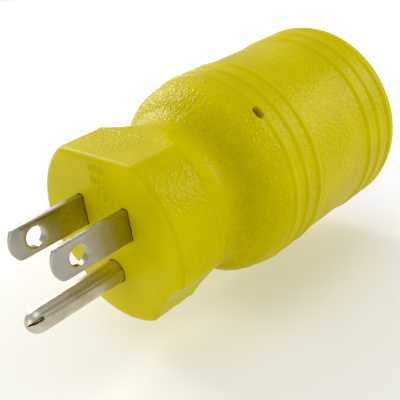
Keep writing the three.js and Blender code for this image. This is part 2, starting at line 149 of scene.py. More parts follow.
# Prongs
PRONG_CLEARANCE = 0.08
PRONG_LIP = 0.06
PRONG_LIP_DEPTH = 0.08
BLADE_THICKNESS = 1.52
BLADE_LOW_Y = box_mm("hot_blade")[0][1]
BLADE_HALF_WIDTH = (box_mm("hot_blade")[1][2] - box_mm("hot_blade")[0][2]) / 2
BLADE_CORNER = 1.1
BLADE_BOW = 4.4
BLADE_REAR_CORNER = 0.8
BLADE_EDGE = 0.2
BLADE_TAPER = 2.2
BLADE_TIP_THICKNESS = 0.8
BLADE_HOLE_Y = -11.6
BLADE_HOLE_RADIUS = 1.98
BLADE_HOLE_EDGE = 0.3
BLADE_END_Y = 9.6
TAIL_WIDTH = 4.0
CRIMP_START_Y = 12.5
CRIMP_END_Y = 19.0
CRIMP_RADIUS = 2.2
CRIMP_BORE = 1.4
CRIMP_DENTS = (14.6, 17.0)
CRIMP_DENT_DEPTH = 0.28
PIN_RADIUS = 2.4
PIN_NOSE = 1.12
PIN_SEAM_ANGLE = 30.0
PIN_SEAM_DEPTH = 0.14
PIN_SEAM_WIDTH = 0.12
PIN_SLIT_LENGTH = 2.7
PIN_SLIT_DEPTH = 1.3
PIN_DIMPLE_DEPTH = 0.2

# Receptacle face
INSERT_START_Y = box_mm("receptacle_face")[0][1]
INSERT_END_Y = box_mm("receptacle_face")[1][1]
INSERT_RADIUS = 18.4
INSERT_EDGE = 0.5
LAND_RADIUS = 15.6
LAND_DEPTH = 0.35
CONTACT_RADIUS = 9.5
CONTACT_ANGLES = {"hot": 150.0, "neutral": 30.0, "ground": -90.0}
SLOT_HALF_WIDTH = 1.1
SLOT_HALF_ANGLE = {"hot": 29.0, "neutral": 33.0, "ground": 29.0}
SLOT_WALL = 3.0
SLOT_EDGE = 0.3
HOOK_REACH = 3.4
HOOK_HALF_ANGLE = 7.0
HOOK_POCKET_HALF_ANGLE = 10.0
HOOK_CLEARANCE = 0.7
CHAMBER_HALF_WIDTH = 2.9
CHAMBER_HALF_ANGLE = 36.0
SCREW_RADIUS = 1.7
SCREW_PITCH_RADIUS = 15.2
SCREW_ANGLES = (90.0, -30.0, -150.0)
SCREW_HOLE_END_Y = 54.4

# Studio and view; azimuth is in degrees round from the plug face
FLOOR_DROP = 6.5
FILM_BLACK = 0.034
WORLD_STRENGTH = 0.6
LIGHTS = {  # azimuth, elevation, distance, size, power
    "left": (-95, 26, 0.45, 0.26, 1.1),
    "overhead": (20, 78, 0.5, 0.3, 0.25),
    "behind": (142, 25, 0.5, 0.22, 0.76),
    "front": (-10, 12, 0.6, 0.4, 0.6),
}
VIEW_AZIMUTH = 46.57
VIEW_ELEVATION = 26.37
VIEW_ROLL = -8.47
VIEW_LENS = 63.61
VIEW_PLACE = (97.37, -67.46, 62.33)


# ------------------------------------------------------------- mesh helpers

class Shell:
    """Points and faces of a closed solid, in millimetres, built up loop by loop."""

    def __init__(self):
        self.points = []
        self.faces = []

    def add(self, points):
        """Add points and give their numbers."""
        start = len(self.points)
        self.points.extend(tuple(point) for point in points)
        return list(range(start, len(self.points)))

    def add_flat(self, loop, y):
        """Add a loop of (x, z) places at one y."""
        return self.add([(x, y, z) for x, z in loop])

    def bridge(self, loops):
        """Faces between each loop and the next; a loop may be one point repeated."""
        for first, second in zip(loops, loops[1:]):
            for i in range(len(first)):
                j = (i + 1) % len(first)
                corners = dict.fromkeys((first[i], first[j], second[j], second[i]))
                if len(corners) > 2:
                    self.faces.append(list(corners))

    def fill(self, loops, flats, loose=(), extra=()):
        """Triangles between an outline and its holes, as point numbers and as flat places."""
        ids = [i for loop in loops for i in loop] + list(loose)
        for triangle in triangulate(flats[0], flats[1:], np.reshape(extra, (-1, 2))):
            self.faces.append([ids[i] for i in triangle])

    def finished(self, name, smooth_angle=35.0, grain=None):
        """The mesh object, facing outwards, with sharp edges past an angle."""
        mesh = bpy.data.meshes.new(name)
        mesh.from_pydata([tuple(p * MM for p in point) for point in self.points], [], self.faces)
        if grain is not None:
            layer = mesh.attributes.new("grain", "FLOAT", "POINT")
            layer.data.foreach_set("value", np.array(grain, np.float32))
        shape = bmesh.new()
        shape.from_mesh(mesh)
        loose = [vertex for vertex in shape.verts if not vertex.link_faces]
        bmesh.ops.delete(shape, geom=loose, context="VERTS")
        bmesh.ops.recalc_face_normals(shape, faces=shape.faces)
        shape.to_mesh(mesh)
        shape.free()
        mesh.update()
        return smoothed_object(name, mesh, smooth_angle)


def smoothed_object(name, mesh, smooth_angle):
    mesh.shade_smooth()
    mesh.set_sharp_from_angle(angle=math.radians(smooth_angle))
    piece = bpy.data.objects.new(name, mesh)
    bpy.context.scene.collection.objects.link(piece)
    return piece


def inside(polygon, points):
    """Which points lie inside a closed polygon, by the even-odd rule."""
    x, y = points[:, 0], points[:, 1]
    result = np.zeros(len(points), bool)
    px, py = polygon[:, 0], polygon[:, 1]
    qx, qy = np.roll(px, -1), np.roll(py, -1)
    for ax, ay, bx, by in zip(px, py, qx, qy):
        crosses = (ay > y) != (by > y)
        with np.errstate(divide="ignore", invalid="ignore"):
            at = (bx - ax) * (y - ay) / (by - ay) + ax
        result ^= crosses & (x < at)
    return result


def triangulate(outline, holes, extra):
    """Triangles over a flat region: indices into outline + holes + extra, in that order."""
    loops = [outline, *holes]
    points = np.concatenate([*loops, extra])
    edges = []
    start = 0
    for loop in loops:
        count = len(loop)
        edges += [(start + i, start + (i + 1) % count) for i in range(count)]
        start += count
    vectors = [Vector(p) for p in points]
    out, _, triangles, origin, _, _ = delaunay_2d_cdt(vectors, edges, [], 0, 1e-7)
    source = [ids[0] if ids else -1 for ids in origin]
    flat = np.array([[v[0], v[1]] for v in out])
    triangles = np.array(triangles)
    middle = flat[triangles].mean(axis=1)
    keep = inside(outline, middle)
    for hole in holes:
        keep &= ~inside(hole, middle)
    result = []
    for triangle in triangles[keep]:
        corners = [source[i] for i in triangle]
        if -1 in corners:
            raise RuntimeError("a triangulation made a new point")
        result.append(corners)
    return result


def oval_loop(centre, half_width, half_height, corner, per_corner=6, per_side=3):
    """A rounded rectangle, counter-clockwise."""
    points = []
    corners = ((1, 1, 0), (-1, 1, 90), (-1, -1, 180), (1, -1, 270))
    for sx, sy, start in corners:
        middle = np.array(centre) + [sx * (half_width - corner), sy * (half_height - corner)]
        for step in range(per_corner + 1):
            angle = math.radians(start + 90 * step / per_corner)
            points.append(middle + [corner * math.cos(angle), corner * math.sin(angle)])
    result = []
    for first, second in zip(points, points[1:] + points[:1]):
        result.append(first)
        if np.linalg.norm(np.subtract(second, first)) > 2.5 * corner / per_corner:
            for step in range(1, per_side + 1):
                share = step / (per_side + 1)
                result.append(first * (1 - share) + second * share)
    return np.array(result)


def circle_loop(centre, radius, count=40):
    angles = np.linspace(0, 2 * math.pi, count, endpoint=False)
    return np.column_stack([centre[0] + radius * np.cos(angles),
                            centre[1] + radius * np.sin(angles)])


def smooth_curve(points, count):
    """Catmull-Rom curve through points, as THREE.SplineCurve draws it."""
    points = np.array(points, float)
    last = len(points) - 1
    result = []
    for step in range(count + 1):
        place = last * step / count
        index = min(int(place), last - 1)
        t = place - index
        p0 = points[max(index - 1, 0)]
        p1, p2 = points[index], points[index + 1]
        p3 = points[min(index + 2, last)]
        result.append(0.5 * (2 * p1 + (p2 - p0) * t + (2 * p0 - 5 * p1 + 4 * p2 - p3) * t * t
                             + (3 * p1 - p0 - 3 * p2 + p3) * t ** 3))
    return np.array(result)


def soft_min(a, b, width):
    """Smaller of two values, with the corner between them rounded."""
    h = np.clip(0.5 + 0.5 * (b - a) / width, 0, 1)
    return b * (1 - h) + a * h - width * h * (1 - h)


def smoothstep(low, high, value):
    t = np.clip((value - low) / (high - low), 0, 1)
    return t * t * (3 - 2 * t)


def turn_between(angle, other):
    """Degrees from one angle to another, from -180 to 180."""
    return (angle - other + 180) % 360 - 180


def node_centre(node):
    """Middle of a CAD node as (x, z)."""
    low, high = box_mm(node)
    return (low[0] + high[0]) / 2, (low[2] + high[2]) / 2


def cell_distances(points, size, seed):
    """Nearest and second nearest distances to jittered cell points, in cells, and a cell value."""
    scaled = points / size
    base = np.floor(scaled).astype(np.int64)
    first = np.full(len(points), 1e9)
    second = np.full(len(points), 1e9)
    value = np.zeros(len(points))
    for dx in (-1, 0, 1):
        for dy in (-1, 0, 1):
            for dz in (-1, 0, 1):
                cell = base + [dx, dy, dz]
                jitter = np.stack([hashed(cell, seed + k) for k in range(3)], axis=1)
                distance = np.linalg.norm(scaled - (cell + jitter), axis=1)
                nearer = distance < first
                second = np.where(nearer, first, np.minimum(second, distance))
                value = np.where(nearer, hashed(cell, seed + 7), value)
                first = np.where(nearer, distance, first)
    return first, second, value


def hashed(cell, seed):
    """A repeatable number from 0 to 1 for each integer cell."""
    mixed = (cell[:, 0] * 73856093) ^ (cell[:, 1] * 19349663) ^ (cell[:, 2] * 83492791)
    mixed = (mixed + seed * 2654435761) & 0xFFFFFFFF
    mixed = ((mixed ^ (mixed >> 16)) * 0x45D9F3B) & 0xFFFFFFFF
    mixed = ((mixed ^ (mixed >> 16)) * 0x45D9F3B) & 0xFFFFFFFF
    mixed = mixed ^ (mixed >> 16)
    return mixed / 0xFFFFFFFF


# -------------------------------------------------------------- jacket shape

def head_outline(angle):
    """Radius of the head's outline at an angle in radians: round, flat on top, two scallops."""
    radius = np.full_like(angle, HEAD_RADIUS)
    up = np.sin(angle)
    flat = np.where(up > 0.2, FLAT_Z / np.maximum(up, 0.2), 99.0)
    radius = soft_min(radius, flat, OUTLINE_BLEND)
    centre = SCALLOP_REACH + SCALLOP_RADIUS
    for degrees in SCALLOP_ANGLES:
        turn = angle - math.radians(degrees)
        across = centre * np.sin(turn)
        hit = (np.cos(turn) > 0) & (np.abs(across) < SCALLOP_RADIUS)
        depth = np.sqrt(np.maximum(SCALLOP_RADIUS ** 2 - across ** 2, 0))
        scallop = np.where(hit, centre * np.cos(turn) - depth, 99.0)
        radius = soft_min(radius, scallop, OUTLINE_BLEND)
    return radius


def profile_points():
    """The turned profile of the jacket's outside, as y and radius, without waist and rings."""
    shoulder = smooth_curve([
        (HEAD_LENGTH + 0.2, HEAD_RADIUS - 0.3),
        (NECK_Y - 3.6, NECK_RADIUS + 1.15),
        (NECK_Y, NECK_RADIUS),
        (NECK_Y + 3.5, NECK_RADIUS + 1.05),
        (SHOULDER_END_Y - 6.1, BARREL_RADIUS - 2.5),
        (SHOULDER_END_Y - 4.1, BARREL_RADIUS - 1.0),
        (SHOULDER_END_Y, BARREL_RADIUS),
    ], 120)
    head = [(0, HEAD_RADIUS), (HEAD_LENGTH - 0.15, HEAD_RADIUS), (HEAD_LENGTH, HEAD_RADIUS - 0.06)]
    return np.concatenate([head, shoulder, [(BODY_LENGTH, BARREL_RADIUS)]])


PROFILE = profile_points()


def profile_radius(y):
    """Radius of the turned outside at y, with the waist and the raised rings."""
    radius = np.interp(y, PROFILE[:, 0], PROFILE[:, 1])
    radius = radius - WAIST_DEPTH * (smoothstep(WAIST_START_Y - 1, WAIST_START_Y + 1, y)
                                     - smoothstep(WAIST_END_Y - 1, WAIST_END_Y + 1, y))
    for crest in RINGS:
        rise = 1 - np.clip((crest - y) / RING_RISE, 0, 1) ** 2
        fall = (crest + RING_FALL - y) / RING_FALL
        share = np.maximum(soft_min(rise, fall, RING_ROUND), 0)
        radius = radius + RING_SHOWN * share
    return radius


def outside_radius(angle, y):
    """Radius of the finished outside, without grain."""
    outline = head_outline(angle) + np.maximum(y - RELEASE_Y, 0) ** 2 * RELEASE_CURVE
    radius = soft_min(profile_radius(y), outline, OUTLINE_BLEND)
    edge = np.clip((FACE_EDGE - y) / FACE_EDGE, 0, 1)
    radius = radius - FACE_EDGE * (1 - np.sqrt(1 - edge * edge))
    bead = CREASE_BEAD * np.exp(-((y - HEAD_LENGTH + 0.1) / CREASE_WIDTH) ** 2)
    return radius + bead


def grain_mask(angle, y):
    """Share of the full grain: less on the head, neck and barrel, none on edges and rings."""
    on_flat = smoothstep(0.2, 0.5, HEAD_RADIUS - head_outline(angle)) * (np.sin(angle) > 0)
    head = smoothstep(0.25, 0.9, y) * (1 - smoothstep(HEAD_LENGTH - 0.7, HEAD_LENGTH, y))
    head = head * HEAD_GRAIN * (1 - (1 - FLAT_GRAIN) * on_flat)
    flat_end = 1 - smoothstep(NECK_Y - 2, NECK_Y, y)
    head = np.maximum(head, FLAT_GRAIN * on_flat * (y > 5) * flat_end)
    body = smoothstep(NECK_Y + 0.3, NECK_Y + 2.2, y) * smoothstep(0.7, 1.1, BODY_LENGTH - y)
    body = body * (1 - BARREL_CALM * smoothstep(SHOULDER_END_Y - 4, SHOULDER_END_Y + 2, y))
    neck = smoothstep(HEAD_LENGTH, HEAD_LENGTH + 1, y) * (1 - smoothstep(NECK_Y, NECK_Y + 3, y))
    mask = np.maximum(np.maximum(head, body), NECK_GRAIN * neck)
    for crest in RINGS:
        past = y - crest
        on_ring = smoothstep(-RING_RISE - 0.2, -RING_RISE + 0.1, past)
        mask = mask * (1 - on_ring * (1 - smoothstep(RING_FALL, RING_FALL + 0.3, past)))
    around = (angle - math.radians(LOCATOR_ANGLE)) * BARREL_RADIUS / (LOCATOR_WIDTH / 2 + 0.6)
    along = (y - LOCATOR_Y) / (LOCATOR_HEIGHT / 2 + 0.5)
    return mask * smoothstep(0.9, 1.2, np.hypot(around, along))


def parting_height(angle, y):
    """Height of the fine line on the shoulder where the halves of the mould meet."""
    ends = smoothstep(HEAD_LENGTH, HEAD_LENGTH + 1, y) * smoothstep(0, 3, PARTING_END_Y - y)
    lines = 0.0
    for parting in PARTING_ANGLES:
        lines = lines + np.exp(-(turn_between(np.degrees(angle), parting) / PARTING_WIDTH) ** 2)
    return PARTING_HEIGHT * lines * ends


def column_angles(count=360, near=1.6):
    """Angles round the jacket, with closer ones at the mould's parting lines."""
    close = np.array([-1.2, -0.7, -0.35, -0.16, 0.0, 0.16, 0.35, 0.7, 1.2])
    angles = list(np.arange(count) * 360 / count)
    for parting in PARTING_ANGLES:
        angles = [a for a in angles if abs(turn_between(a, parting)) > near]
        angles += list((parting + close) % 360)
    return np.radians(np.sort(angles))


def row_places():
    """Heights of the rows of the outside, closer where the surface turns."""
    fine = np.linspace(0, BODY_LENGTH - LIP_RADIUS, 6000)
    slope = np.gradient(profile_radius(fine), fine)
    spacing = np.full_like(fine, 0.48)
    for centre in RINGS:
        spacing = np.where(np.abs(fine - centre + 0.5) < 1.1, 0.24, spacing)
        spacing = np.where(np.abs(fine - centre - 0.15) < 0.4, 0.1, spacing)
    spacing = np.where(fine < FACE_EDGE + 0.3, 0.13, spacing)
    spacing = np.where(np.abs(fine - HEAD_LENGTH) < 0.7, 0.17, spacing)
    density = np.sqrt(1 + np.minimum(np.abs(slope), 1.5) ** 2) / spacing
    total = np.concatenate([[0], np.cumsum((density[1:] + density[:-1]) / 2 * np.diff(fine))])
    count = int(total[-1]) + 1
    return np.interp(np.linspace(0, total[-1], count), total, fine)


def inner_rows():
    """Radius and y of the rows from the rear lip down to the front of the cavity."""
    rows = []
    for step in range(1, 7):
        turn = math.radians(90 * step / 6)
        rows.append((BARREL_RADIUS - LIP_RADIUS * (1 - math.cos(turn)),
                     BODY_LENGTH - LIP_RADIUS * (1 - math.sin(turn))))
    edge = LIP_INNER_EDGE
    rows.append((CAVITY_RADIUS + edge + 0.3, BODY_LENGTH))
    for step in range(4):
        turn = math.radians(90 * step / 3)
        rows.append((CAVITY_RADIUS + edge - edge * math.sin(turn),
                     BODY_LENGTH - edge * (1 - math.cos(turn))))
    rib = CAVITY_RADIUS - RIB_HEIGHT
    rows += [
        (CAVITY_RADIUS, RIB_END_Y), (rib, RIB_END_Y - RIB_HEIGHT),
        (rib, RIB_START_Y + RIB_HEIGHT), (CAVITY_RADIUS, RIB_START_Y),
        (CAVITY_RADIUS, LOCATOR_Y + LOCATOR_REACH), (CAVITY_RADIUS, LOCATOR_Y - LOCATOR_REACH),
        (CAVITY_RADIUS, FLARE_END_Y), (HEAD_CAVITY_RADIUS, FLARE_START_Y),
        (HEAD_CAVITY_RADIUS, FACE_THICKNESS),
    ]
    return rows


# --------------------------------------------------------------- face relief

def line_relief(distance, half_width):
    """Height 0 to 1 of a raised line, from the distance to its middle."""
    return 1 - smoothstep(half_width * 0.6, half_width * 1.4, distance)


def stroke(points, start, end, half_width):
    """Raised line between two places on the face."""
    start, end = np.array(start, float), np.array(end, float)
    along = np.clip(((points - start) @ (end - start)) / np.sum((end - start) ** 2), 0, 1)
    nearest = start + along[:, None] * (end - start)
    return line_relief(np.linalg.norm(points - nearest, axis=1), half_width)


def ring_relief(points, centre, radius, half_width):
    from_centre = np.linalg.norm(points - np.array(centre), axis=1)
    return line_relief(np.abs(from_centre - radius), half_width)


def face_relief(points):
    """Generic raised marks of the plug face: rows of bars, a ringed bolt and ejector rings."""
    columns, rows = 6, 2
    height = ring_relief(points, BADGE_CENTRE, BADGE_RADIUS, RELIEF_LINE)
    for row in range(rows):
        for column in range(columns):
            x = RELIEF_CENTRE[0] + (column - (columns - 1) / 2) * RELIEF_SPACING
            z = RELIEF_CENTRE[1] + (0.5 - row) * RELIEF_ROW_SPACING
            reach = 0.75 if (row + column) % 2 else 0.5
            bar = stroke(points, (x, z - reach), (x, z + reach), RELIEF_LINE)
            height = np.maximum(height, bar)
    bolt = np.add(BADGE_BOLT, BADGE_CENTRE)
    for first, second in zip(bolt, bolt[1:]):
        height = np.maximum(height, stroke(points, first, second, 0.15))
    for side in (-1, 1):
        ejector = ring_relief(points, (side * EJECTOR_X, EJECTOR_Z), EJECTOR_RADIUS, 0.12)
        height = np.maximum(height, 0.5 * ejector)
    return height


def square_grid(low, high, spacing):
    """Evenly spaced (x, z) places over a box, ends left out at the high side."""
    return np.array([(x, z) for x in np.arange(low[0], high[0], spacing)
                     for z in np.arange(low[1], high[1], spacing)])


def face_grid(outline, holes, is_face):
    """Loose points that fill the face, closer together under the raised marks."""
    grid = square_grid((-19, -19), (19, 19), 0.8 if is_face else 3.0)
    if is_face:
        areas = [((-2.2, 5.0), (4.6, 14.6), 0.3)]
        for side in (-1, 1):
            x = side * EJECTOR_X
            areas.append(((x - 1.2, EJECTOR_Z - 1.2), (x + 1.21, EJECTOR_Z + 1.21), 0.3))
        for low, high, margin in areas:
            away = ((grid < np.array(low) - margin) | (grid > np.array(high) + margin)).any(axis=1)
            grid = grid[away]
        grid = np.concatenate([grid, *[square_grid(low, high, 0.16) for low, high, _ in areas]])
    keep = inside(outline * 0.985, grid)
    for hole in holes:
        middle = hole.mean(axis=0)
        keep &= ~inside(middle + (hole - middle) * 1.15, grid)
    return grid[keep]


# -------------------------------------------------------------- jacket mesh

def prong_loops(offset):
    """Outlines of the three prong holes on the face, grown by an offset."""
    grow = PRONG_CLEARANCE + offset
    loops = []
    for node in ("hot_blade", "neutral_blade"):
        loops.append(oval_loop(node_centre(node), BLADE_THICKNESS / 2 + grow,
                               BLADE_HALF_WIDTH + grow, 0.3 + offset, 4, 5))
    loops.append(circle_loop(node_centre("ground_pin"), PIN_RADIUS + grow))
    return loops


def locator_loop(offset):
    """Outline of the locating hole as (distance round the barrel, y), grown by an offset."""
    half_width = LOCATOR_WIDTH / 2 + offset
    half_height = LOCATOR_HEIGHT / 2 + offset
    return oval_loop((0, LOCATOR_Y), half_width, half_height, half_height * 0.98, 6, 3)


def grain_height(points):
    """Pebbles from 0 to 1: rounded cells with creases between them."""
    first, second, value = cell_distances(points, GRAIN_CELL, 11)
    pebble = smoothstep(0.0, 0.42, second - first) * (0.65 + 0.35 * value)
    first, second, value = cell_distances(points, GRAIN_CELL * 2.7, 29)
    swell = smoothstep(0.0, 0.6, second - first)
    return pebble * 0.85 + swell * 0.15


def grid_normals(points):
    """Outward normals of a grid of points that closes on itself round the body."""
    along = np.gradient(points, axis=0)
    around = np.roll(points, -1, axis=1) - np.roll(points, 1, axis=1)
    normal = np.cross(along, around)
    normal /= np.linalg.norm(normal, axis=2, keepdims=True) + 1e-12
    radial = points * [1, 0, 1]
    flip = np.sign(np.sum(normal * radial, axis=2, keepdims=True))
    return normal * np.where(flip == 0, 1, flip)


def jacket_grid(angles, rows):
    """Points of the textured outside, a ring for each row, and the grain's share at each."""
    turns, ys = np.meshgrid(angles, rows)
    radius = outside_radius(turns, ys)
    smooth = np.stack([radius * np.cos(turns), ys, radius * np.sin(turns)], axis=2)
    mask = grain_mask(turns, ys)
    pebbles = grain_height(smooth.reshape(-1, 3)).reshape(mask.shape)
    lift = GRAIN_HEIGHT * (pebbles - GRAIN_LEVEL) * mask + parting_height(turns, ys)
    return smooth + grid_normals(smooth) * lift[:, :, None], mask


def locator_block(angles, rows):
    """First and last rows and columns of the cells round the locating hole."""
    around = (angles - math.radians(LOCATOR_ANGLE)) * BARREL_RADIUS
    columns = np.where(np.abs(around) < LOCATOR_WIDTH / 2 + LOCATOR_MARGIN)[0]
    picked = np.where(np.abs(rows - LOCATOR_Y) < LOCATOR_HEIGHT / 2 + LOCATOR_MARGIN)[0]
    return picked[0], picked[-1], columns[0], columns[-1]


def block_border(first_row, last_row, first_column, last_column):
    """Rows and columns round the border of a block of a grid, in order."""
    border = [(first_row, c) for c in range(first_column, last_column)]
    border += [(r, last_column) for r in range(first_row, last_row)]
    border += [(last_row, c) for c in range(last_column, first_column, -1)]
    border += [(r, first_column) for r in range(last_row, first_row, -1)]
    return border


def in_block(block, row, column):
    return block[0] <= row < block[1] and block[2] <= column < block[3]


def build_jacket():
    angles = column_angles()
    rows = row_places()
    inner = inner_rows()
    outer, mask = jacket_grid(angles, rows)
    shell = Shell()
    rings = [shell.add(points) for points in outer]
    for radius, y in inner:
        flat = np.column_stack([radius * np.cos(angles), radius * np.sin(angles)])
        rings.append(shell.add_flat(flat, y))

    # Blocks of cells that the locating hole passes through, outside and inside
    outer_block = locator_block(angles, rows)
    inner_row = len(rows) + [y for _, y in inner].index(LOCATOR_Y + LOCATOR_REACH)
    inner_block = (inner_row, inner_row + 1, *outer_block[2:])
    for row, (first, second) in enumerate(zip(rings, rings[1:])):
        for column in range(len(angles)):
            if in_block(outer_block, row, column) or in_block(inner_block, row, column):
                continue
            after = (column + 1) % len(angles)
            shell.faces.append((first[column], first[after], second[after], second[column]))

    pierce_face(shell, rings[0], rings[-1])
    pierce_barrel(shell, rings, angles, outer_block, inner_block)
    grain = np.zeros(len(shell.points))
    grain[:mask.size] = mask.ravel()
    return shell.finished("outer_jacket_shell", 50, grain)


def pierce_face(shell, front, back):
    """Plug face and the front wall of the cavity, with the holes that the prongs pass through."""
    ends = []
    for edge, y, lip, relief in ((front, 0.0, PRONG_LIP, RELIEF_HEIGHT),
                                 (back, FACE_THICKNESS, 0, 0)):
        outline = np.array([shell.points[i] for i in edge])[:, [0, 2]]
        loops = prong_loops(lip)
        holes = [shell.add_flat(loop, y) for loop in loops]
        extra = face_grid(outline, loops, edge is front)
        lifted = y - relief * face_relief(extra)
        loose = shell.add(np.column_stack([extra[:, 0], lifted, extra[:, 1]]))
        shell.fill([edge, *holes], [outline, *loops], loose, extra)
        ends.append(holes)
    for mouth, loop, wall in zip(ends[0], prong_loops(0), ends[1]):
        shell.bridge([mouth, shell.add_flat(loop, PRONG_LIP_DEPTH), wall])


def pierce_barrel(shell, rings, angles, outer_block, inner_block):
    """Locating hole: a patch outside, a patch inside and the wall between them."""
    middle = math.radians(LOCATOR_ANGLE)

    def place(loop, depth=None):
        """A loop at a depth below the outside, or on the cavity's wall."""
        turn = middle + loop[:, 0] / BARREL_RADIUS
        radius = CAVITY_RADIUS if depth is None else outside_radius(turn, loop[:, 1]) - depth
        return shell.add(np.column_stack([radius * np.cos(turn), loop[:, 1],
                                          radius * np.sin(turn)]))

    def patch(block, hole, loop, loose=(), extra=()):
        border = block_border(*block)
        ids = [rings[row][column] for row, column in border]
        outline = np.array([((angles[column] - middle) * BARREL_RADIUS, shell.points[i][1])
                            for i, (_, column) in zip(ids, border)])
        shell.fill([ids, hole], [outline, loop], loose, extra)

    mouth, throat, grown = locator_loop(0.22), locator_loop(0), locator_loop(0.45)
    stages = [place(mouth, 0), place(locator_loop(0.06), 0.07), place(throat, 0.25), place(throat)]
    patch(outer_block, stages[0], mouth, place(grown, 0), grown)
    patch(inner_block, stages[-1], throat)
    shell.bridge(stages)


# ------------------------------------------------------------------- prongs

def turned(profile, angles, centre, change):
    """A solid turned about an axis along Y, from a profile with both ends on the axis."""
    shell = Shell()
    rings = []
    for radius, y in profile:
        if radius == 0:
            rings.append(shell.add([(centre[0], y, centre[1])]) * len(angles))
            continue
        reach = [change(radius, y, angle) for angle in angles]
        loop = [(centre[0] + r * math.cos(a), centre[1] + r * math.sin(a))
                for r, a in zip(reach, angles)]
        rings.append(shell.add_flat(loop, y))
    shell.bridge(rings)
    return shell


def crimp_barrel():
    """Profile of a crimp barrel, round its mouth and down its bore to the axis."""
    edge = 0.25
    return [
        (CRIMP_RADIUS - edge, CRIMP_START_Y),
        (CRIMP_RADIUS, CRIMP_START_Y + edge),
        *[(CRIMP_RADIUS, y) for y in np.linspace(CRIMP_START_Y + 0.6, CRIMP_END_Y - 0.6, 18)],
        (CRIMP_RADIUS, CRIMP_END_Y - edge),
        (CRIMP_RADIUS - edge * 0.4, CRIMP_END_Y),
        (CRIMP_BORE + edge * 0.4, CRIMP_END_Y),
        (CRIMP_BORE, CRIMP_END_Y - edge),
        (CRIMP_BORE, CRIMP_START_Y + 0.8),
        (0, CRIMP_START_Y + 0.8),
    ]


def crimp_dents(radius, y, angle):
    """Two rows of tool dents across a crimp barrel."""
    if radius < CRIMP_RADIUS - 0.01 or y < CRIMP_START_Y:
        return radius
    dent = max(math.exp(-((y - centre) / 0.7) ** 2) for centre in CRIMP_DENTS)
    return radius - CRIMP_DENT_DEPTH * dent * max(math.sin(angle), 0) ** 2


def half_thickness(y):
    """Half the thickness of a blade at y: flat, then coined thinner at the tip."""
    share = np.clip((BLADE_LOW_Y + BLADE_TAPER - y) / BLADE_TAPER, 0, 1)
    return BLADE_THICKNESS / 2 - share * (BLADE_THICKNESS - BLADE_TIP_THICKNESS) / 2


def blade_outline(shrink):
    """Side view of a blade as (y, z): a bowed tip with round corners, square at the rear."""
    half = BLADE_HALF_WIDTH - shrink
    corner = BLADE_CORNER - shrink
    bow_y = BLADE_LOW_Y + BLADE_BOW
    corner_z = BLADE_HALF_WIDTH - BLADE_CORNER
    corner_y = bow_y - math.sqrt((BLADE_BOW - BLADE_CORNER) ** 2 - corner_z ** 2)
    turn = math.degrees(math.atan2(corner_z, corner_y - bow_y))
    tip = arc_points((corner_y, corner_z), corner, 90, turn, 6)
    tip += arc_points((bow_y, 0), BLADE_BOW - shrink, turn, 360 - turn, 16)[1:-1]
    tip += arc_points((corner_y, -corner_z), corner, 360 - turn, 270, 6)
    high_y = BLADE_END_Y - shrink
    rear = BLADE_REAR_CORNER - shrink
    tail = arc_points((high_y - rear, rear - half), rear, 270, 360, 4)
    tail += even_run(tail[-1], (high_y, half - rear))
    tail += arc_points((high_y - rear, half - rear), rear, 0, 90, 4)
    return np.array(tip + even_run(tip[-1], tail[0]) + tail + even_run(tail[-1], tip[0]))


def arc_points(centre, radius, start, end, count):
    angles = np.radians(np.linspace(start, end, count + 1))
    return [(centre[0] + radius * math.cos(a), centre[1] + radius * math.sin(a)) for a in angles]


def even_run(start, end, spacing=0.8):
    """Points between two places, ends left out, about a spacing apart."""
    start, end = np.array(start), np.array(end)
    count = max(int(round(np.linalg.norm(end - start) / spacing)), 1)
    return [tuple(start + (end - start) * step / count) for step in range(1, count)]


def blade_plate(centre):
    """The flat of a blade, with rounded edges and a punched hole."""
    shell = Shell()

    def place(flat, lift):
        side = np.sign(lift)
        return shell.add([
            (centre[0] + lift + side * max(half_thickness(y) - BLADE_EDGE, 0.1), y, centre[1] + z)
            for y, z in flat
        ])

    def edge_loops(outline_at, steps):
        """Loops round a rounded edge, from one side of the blade to the other."""
        loops = []
        for step in range(-steps, steps + 1):
            turn = math.radians(90 * abs(step) / steps)
            outline = outline_at(1 - math.cos(turn))
            lift = math.copysign(BLADE_EDGE * math.sin(turn) + 1e-6, step) if step else 0.0
            loops.append((outline, place(outline, lift)))
        shell.bridge([ids for _, ids in loops])
        return loops

    outside = edge_loops(lambda share: blade_outline(BLADE_EDGE * share), 4)
    hole = edge_loops(lambda share: circle_loop(
        (BLADE_HOLE_Y, 0), BLADE_HOLE_RADIUS + BLADE_HOLE_EDGE * share, 64), 3)

    crease = BLADE_LOW_Y + BLADE_TAPER
    half = BLADE_HALF_WIDTH
    extra = [(y, z) for y in (crease - 0.12, crease + 0.12)
             for z in np.arange(0.5 - half, half - 0.4, 0.25)]
    extra += [(y, z) for y in np.arange(crease + 1.2, BLADE_END_Y - 1, 1.2)
              for z in np.arange(0.8 - half, half - 0.7, 0.8)
              if math.hypot(y - BLADE_HOLE_Y, z) > BLADE_HOLE_RADIUS + 0.8]
    for end, sign in ((0, -1), (-1, 1)):
        outline, outline_ids = outside[end]
        circle, circle_ids = hole[end]
        loose = place(extra, sign * BLADE_EDGE)
        shell.fill([outline_ids, circle_ids], [outline, circle], loose, extra)
    return shell


def united(name, pieces, smooth_angle):
    """One closed mesh from overlapping closed meshes."""
    base = pieces[0]
    for other in pieces[1:]:
        cut = base.modifiers.new("join", "BOOLEAN")
        cut.operation = "UNION"
        cut.solver = "EXACT"
        cut.object = other
    bpy.context.view_layer.update()
    result = bpy.data.meshes.new_from_object(
        base.evaluated_get(bpy.context.evaluated_depsgraph_get()))
    result.name = name
    for piece in pieces:
        mesh = piece.data
        bpy.data.objects.remove(piece)
        bpy.data.meshes.remove(mesh)
    return smoothed_object(name, result, smooth_angle)


